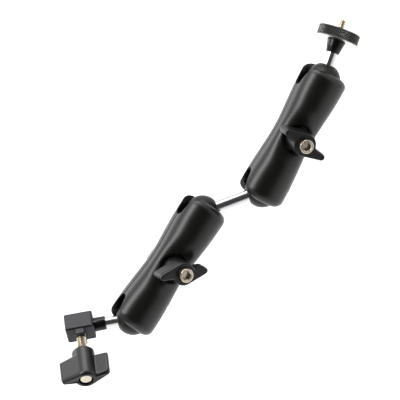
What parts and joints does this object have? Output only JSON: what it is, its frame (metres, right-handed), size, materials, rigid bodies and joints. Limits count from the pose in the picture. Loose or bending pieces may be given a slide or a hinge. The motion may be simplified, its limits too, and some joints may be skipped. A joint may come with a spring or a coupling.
{
  "type": "macro arm",
  "caption": "Jointed camera arm: clamp foot, double-socket arms on ball joints with a rod between them, and a top stud with a knurled lock ring.",
  "frame": {"origin": "middle of the clamp face, on the clamp screw's axis", "axes": "+X along the base rod towards the arms, -Y out of the clamp face along the clamp screw, +Z completes the frame"},
  "size_m": [0.352, 0.2878, 0.1769],
  "materials": {
    "anodised": "satin",
    "ring_anodised": "satin",
    "collar_black": "satin",
    "chrome": "polished",
    "nickel": "satin",
    "moulded": "satin",
    "ball_black": "satin",
    "shell_black": "satin",
    "zinc_steel": "satin"
  },
  "bodies": {
    "foot": {"clamp_block": "anodised", "base_collar": "collar_black", "base_stud": "chrome"},
    "screw": {"clamp_screw": "nickel"},
    "knob": {"clamp_knob": "moulded", "clamp_knob_insert": "nickel"},
    "base_joint": {"base_ball": "ball_black"},
    "lower_arm": {"lower_rear_shell": "shell_black", "lower_rear_nut": "zinc_steel", "lower_spring": "zinc_steel"},
    "lower_front": {"lower_front_shell": "shell_black", "lower_washer": "zinc_steel"},
    "lower_knob": {"lower_wing_knob": "moulded", "lower_clamp_bolt": "nickel"},
    "upper_arm": {"upper_rear_shell": "shell_black", "upper_rear_nut": "zinc_steel", "upper_spring": "zinc_steel"},
    "upper_front": {"upper_front_shell": "shell_black", "upper_washer": "zinc_steel"},
    "upper_knob": {"upper_wing_knob": "moulded", "upper_clamp_bolt": "nickel"},
    "link_joint": {"link_ball_lower": "ball_black"},
    "link": {"link_rod": "chrome", "link_ball_upper": "ball_black"},
    "top_joint": {"top_ball": "ball_black"},
    "top_stud": {"top_rod": "chrome", "top_hub": "collar_black", "top_thread": "nickel"},
    "ring": {"lock_ring": "ring_anodised"}
  },
  "joints": [
    {"name": "clamp_screw_slide", "type": "slide", "parent": "foot", "child": "screw", "axis": [0, -1, 0], "range_m": [-0.01191, 0.00317]},
    {"name": "clamp_knob_turn", "type": "hinge", "parent": "screw", "child": "knob", "pos_m": [0, 0, 0], "axis": [0, -1, 0], "range_deg": [-2700, 720]},
    {"name": "base_spin", "type": "hinge", "parent": "foot", "child": "base_joint", "pos_m": [0.05415, 0.009, 0], "axis": [1, 0, 0], "continuous": true},
    {"name": "base_swing", "type": "hinge", "parent": "base_joint", "child": "lower_arm", "pos_m": [0.05415, 0.009, 0], "axis": [0, -0.9774, 0.2113], "range_deg": [-125.8, 54.2]},
    {"name": "lower_shell_slide", "type": "slide", "parent": "lower_arm", "child": "lower_front", "axis": [0.4334, -0.7601, 0.4841], "range_m": [0, 0.00159]},
    {"name": "lower_knob_turn", "type": "hinge", "parent": "lower_front", "child": "lower_knob", "pos_m": [0.09734, 0.04849, 0.02333], "axis": [0.4334, -0.7601, 0.4841], "range_deg": [0, 360]},
    {"name": "link_swing_lower", "type": "hinge", "parent": "lower_arm", "child": "link_joint", "pos_m": [0.14053, 0.08797, 0.04666], "axis": [0.2044, -0.9147, 0.3486], "range_deg": [-58.3, 121.7]},
    {"name": "link_spin", "type": "hinge", "parent": "link_joint", "child": "link", "pos_m": [0.14053, 0.08797, 0.04666], "axis": [0.9752, 0.2213, 0.0089], "continuous": true},
    {"name": "link_swing_upper", "type": "hinge", "parent": "link", "child": "upper_arm", "pos_m": [0.20304, 0.10216, 0.04723], "axis": [0.1985, -0.891, 0.4084], "range_deg": [-130.2, 49.8]},
    {"name": "upper_shell_slide", "type": "slide", "parent": "upper_arm", "child": "upper_front", "axis": [0.3194, -0.7986, 0.5101], "range_m": [0, 0.00159]},
    {"name": "upper_knob_turn", "type": "hinge", "parent": "upper_front", "child": "upper_knob", "pos_m": [0.24297, 0.13871, 0.07946], "axis": [0.3194, -0.7986, 0.5101], "range_deg": [0, 360]},
    {"name": "top_swing", "type": "hinge", "parent": "upper_arm", "child": "top_joint", "pos_m": [0.2829, 0.17527, 0.11168], "axis": [0.4613, -0.6372, 0.6174], "range_deg": [-94.7, 85.3]},
    {"name": "top_spin", "type": "hinge", "parent": "top_joint", "child": "top_stud", "pos_m": [0.2829, 0.17527, 0.11168], "axis": [0.4798, 0.7645, 0.4305], "continuous": true},
    {"name": "lock_ring_turn", "type": "hinge", "parent": "top_stud", "child": "ring", "pos_m": [0.2829, 0.17527, 0.11168], "axis": [0.4798, 0.7645, 0.4305], "range_deg": [0, 1080]}
  ],
  "couplings": [
    {"joint": "clamp_knob_turn", "follows": "clamp_screw_slide", "rad_per_m": 3957.9},
    {"joint": "lower_knob_turn", "follows": "lower_shell_slide", "rad_per_m": 3957.9},
    {"joint": "upper_knob_turn", "follows": "upper_shell_slide", "rad_per_m": 3957.9}
  ]
}
